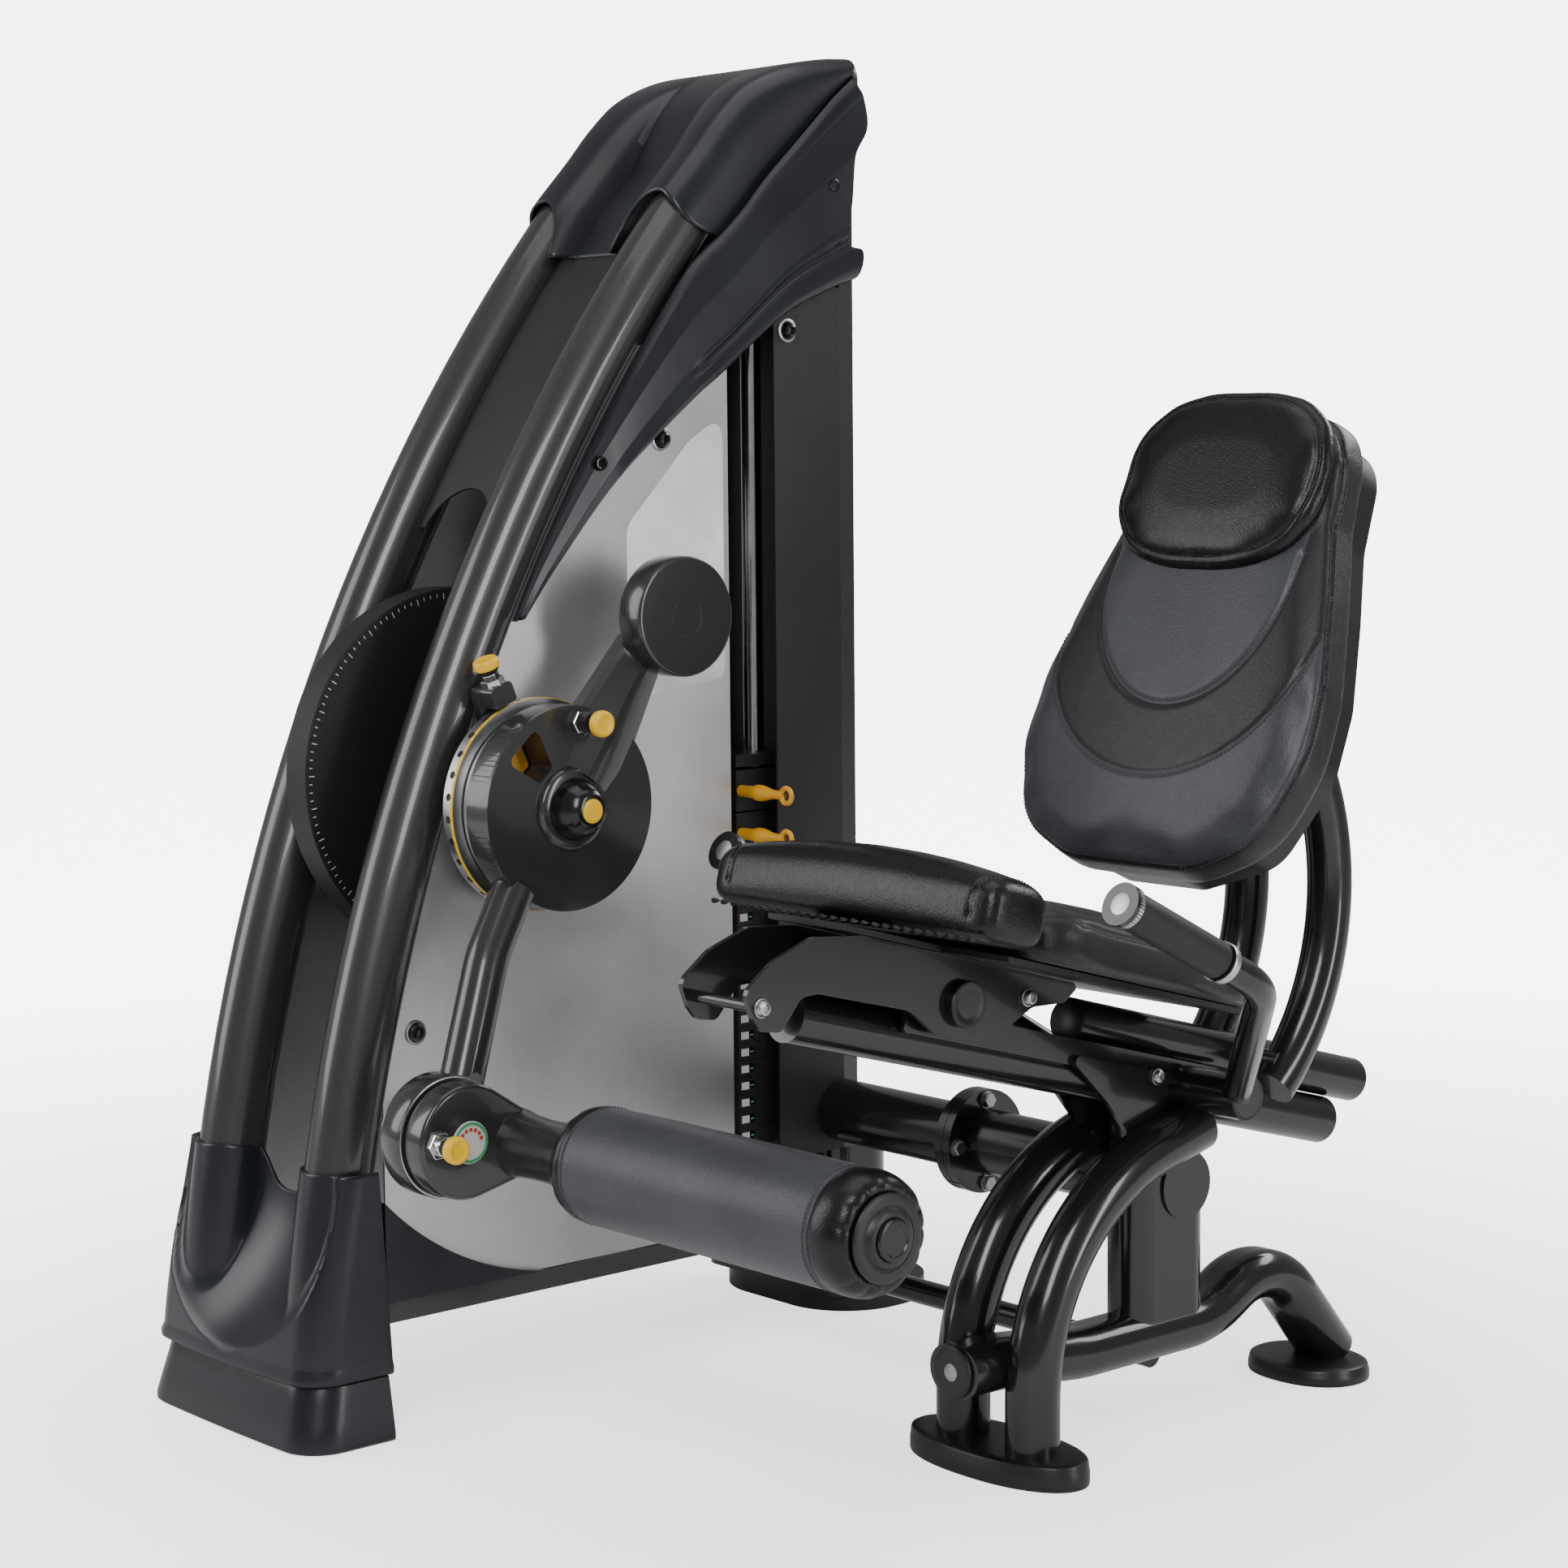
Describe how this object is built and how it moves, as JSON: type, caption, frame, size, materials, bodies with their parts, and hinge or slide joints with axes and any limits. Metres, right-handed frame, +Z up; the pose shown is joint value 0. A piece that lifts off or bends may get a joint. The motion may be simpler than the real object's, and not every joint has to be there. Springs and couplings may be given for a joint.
{
  "type": "leg extension machine",
  "caption": "Seated leg extension machine: weight tower with arched tubes, cam and pivoting lever with foot roller, seat on bent tube legs, sliding backrest.",
  "frame": {"origin": "middle of the footprint box, on the floor", "axes": "+Z up, +Y to the rear of the machine (the user faces -Y), +X from the weight tower to the seat"},
  "size_m": [1.1588, 1.1144, 1.5347],
  "materials": {
    "frame_paint": "gloss dark metallic grey powder coat",
    "cowl": "satin blue-black moulded plastic",
    "silver_sheet": "satin silver sheet",
    "dark_sheet": "textured dark grey sheet",
    "plates": "satin black iron",
    "rods": "polished guide rod",
    "lever_paint": "gloss dark grey casting",
    "black_plastic": "black plastic",
    "yellow_plastic": "yellow knob plastic",
    "orange_plastic": "orange lever plastic",
    "index_steel": "satin index ring",
    "belt": "black flat belt",
    "rubber": "black rubber",
    "vinyl_black": "black upholstery vinyl",
    "vinyl_grey": "blue-grey upholstery vinyl",
    "bolt_steel": "zinc bolts"
  },
  "bodies": {
    "frame": {"base_shoe": "cowl", "base_cowl": "cowl", "arch_tubes": "frame_paint", "arch_panel": "dark_sheet", "top_hood": "cowl", "top_sides": "cowl", "side_panels": "silver_sheet", "corner_gussets": "cowl", "tower_rails": "frame_paint", "column_covers": "dark_sheet", "rear_leg": "frame_paint", "tower_foot": "black_plastic", "guide_rods": "rods", "stack_buffers": "rubber", "resting_plates": "plates", "pulley_bracket": "dark_sheet", "belt_run": "belt", "hub_bearings": "lever_paint", "front_legs": "frame_paint", "seat_feet": "black_plastic", "base_rail": "frame_paint", "mid_beam": "frame_paint", "seat_post": "frame_paint", "cross_tube": "frame_paint", "main_tube": "frame_paint", "guide_plates": "frame_paint", "seat_sides": "frame_paint", "seat_pan": "black_plastic", "bolster": "vinyl_black", "seat_cushion": "vinyl_grey", "handles": "frame_paint", "grips": "rubber", "frame_bolts": "bolt_steel"},
    "cam": {"hub_shaft": "rods", "cam_disc": "plates", "belt_drum": "plates", "index_disc": "index_steel"},
    "lever": {"lever_disc": "lever_paint", "counterweight": "lever_paint", "lower_arm": "lever_paint"},
    "start_pin": {"lever_pin": "yellow_plastic"},
    "link": {"link_casting": "lever_paint", "roller_axle": "rods"},
    "ankle_pin": {"link_pin": "yellow_plastic"},
    "roller": {"roller_spool": "black_plastic", "roller_pad": "vinyl_grey"},
    "stop_ring": {"range_ring": "index_steel"},
    "stop_plunger": {"stop_pin": "yellow_plastic"},
    "stack": {"lifted_plates": "plates", "stack_head": "plates", "addon_weights": "plates", "belt_drop": "belt"},
    "selector": {"selector_pin": "yellow_plastic"},
    "addon_low": {"addon_lever_lower": "orange_plastic"},
    "addon_high": {"addon_lever_upper": "orange_plastic"},
    "pulley": {"top_pulley": "black_plastic"},
    "carriage": {"carriage_frame": "frame_paint", "backrest_pad": "vinyl_grey", "back_board": "black_plastic", "head_pillow": "vinyl_black"}
  },
  "joints": [
    {"name": "leg_extension", "type": "hinge", "parent": "frame", "child": "cam", "pos_m": [-0.0483, -0.245, 0.683], "axis": [-1, 0, 0], "range_deg": [0, 100]},
    {"name": "start_adjust", "type": "hinge", "parent": "cam", "child": "lever", "pos_m": [-0.0483, -0.245, 0.683], "axis": [-1, 0, 0], "range_deg": [-15, 45]},
    {"name": "ankle_adjust", "type": "hinge", "parent": "lever", "child": "link", "pos_m": [-0.0483, -0.457, 0.359], "axis": [-1, 0, 0], "range_deg": [-30, 30]},
    {"name": "roller_spin", "type": "hinge", "parent": "link", "child": "roller", "pos_m": [-0.0483, -0.39, 0.347], "axis": [1, 0, 0], "continuous": true},
    {"name": "range_adjust", "type": "hinge", "parent": "frame", "child": "stop_ring", "pos_m": [-0.0483, -0.245, 0.683], "axis": [1, 0, 0], "range_deg": [-40, 40]},
    {"name": "stop_pull", "type": "slide", "parent": "frame", "child": "stop_plunger", "axis": [0, -0.3714, 0.9285], "range_m": [0, 0.008], "stiffness_N_per_m": 600},
    {"name": "start_pull", "type": "slide", "parent": "lever", "child": "start_pin", "axis": [1, 0, 0], "range_m": [0, 0.008], "stiffness_N_per_m": 600},
    {"name": "ankle_pull", "type": "slide", "parent": "link", "child": "ankle_pin", "axis": [1, 0, 0], "range_m": [0, 0.008], "stiffness_N_per_m": 600},
    {"name": "stack_lift", "type": "slide", "parent": "frame", "child": "stack", "axis": [0, 0, 1], "range_m": [0, 0.27], "deforming": ["belt_drop"]},
    {"name": "selector_slide", "type": "slide", "parent": "stack", "child": "selector", "axis": [1, 0, 0], "range_m": [0, 0.14]},
    {"name": "addon_low_slide", "type": "slide", "parent": "stack", "child": "addon_low", "axis": [1, 0, 0], "range_m": [0, 0.03]},
    {"name": "addon_high_slide", "type": "slide", "parent": "stack", "child": "addon_high", "axis": [1, 0, 0], "range_m": [0, 0.03]},
    {"name": "pulley_turn", "type": "hinge", "parent": "frame", "child": "pulley", "pos_m": [-0.0483, 0.099, 1.24], "axis": [1, 0, 0], "range_deg": [0, 340]},
    {"name": "backrest_adjust", "type": "slide", "parent": "frame", "child": "carriage", "axis": [0, -0.9651, 0.262], "range_m": [-0.06, 0.06]}
  ],
  "couplings": [
    {"joint": "stack_lift", "follows": "leg_extension", "m_per_rad": 0.15},
    {"joint": "pulley_turn", "follows": "leg_extension", "ratio": 3.3333}
  ]
}
